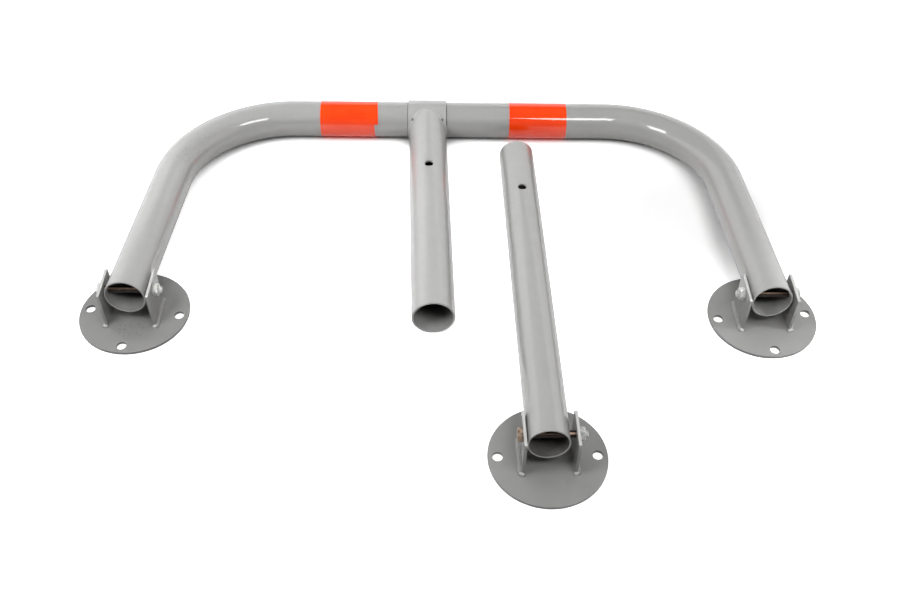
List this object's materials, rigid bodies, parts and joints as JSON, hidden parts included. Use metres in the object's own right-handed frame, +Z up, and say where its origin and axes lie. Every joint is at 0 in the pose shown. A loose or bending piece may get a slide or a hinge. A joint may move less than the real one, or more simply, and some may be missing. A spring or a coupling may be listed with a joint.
{
  "type": "folding parking barrier",
  "caption": "Low folding parking barrier: a bent tube hoop hinged on round base plates, a sleeve that swivels on its crossbar, and a hinged strut post that telescopes into it.",
  "frame": {"origin": "on the ground, in the middle of the laid-out barrier", "axes": "+X along the crossbar to the right, +Y from the strut post's base towards the crossbar, +Z up"},
  "size_m": [1.098, 0.8096, 0.0826],
  "materials": {
    "grey_paint": "satin light grey paint",
    "reflective_tape": "glossy red-orange reflective tape",
    "zinc_steel": "bright zinc plating"
  },
  "bodies": {
    "bases": {"left_base_plate": "grey_paint", "left_outer_lug": "grey_paint", "left_inner_lug": "grey_paint", "right_base_plate": "grey_paint", "right_inner_lug": "grey_paint", "right_outer_lug": "grey_paint", "centre_base_plate": "grey_paint", "centre_left_lug": "grey_paint", "centre_right_lug": "grey_paint", "lug_welds": "grey_paint", "pivot_bolts": "zinc_steel", "pivot_nuts": "zinc_steel"},
    "hoop": {"hoop_tube": "grey_paint", "reflective_bands": "reflective_tape"},
    "tee": {"swivel_ring": "grey_paint", "strut_sleeve": "grey_paint", "sleeve_weld": "grey_paint"},
    "post": {"strut_post": "grey_paint"}
  },
  "joints": [
    {"name": "hoop_fold", "type": "hinge", "parent": "bases", "child": "hoop", "pos_m": [0, -0.06831, 0.052], "axis": [1, 0, 0], "range_deg": [0, 90]},
    {"name": "tee_swivel", "type": "hinge", "parent": "hoop", "child": "tee", "pos_m": [-0.04, 0.3713, 0.0335], "axis": [1, 0, 0], "range_deg": [-180, 0]},
    {"name": "post_fold", "type": "hinge", "parent": "bases", "child": "post", "pos_m": [0.13, -0.32431, 0.052], "axis": [0.9997, 0.0227, 0], "range_deg": [0, 90]}
  ]
}
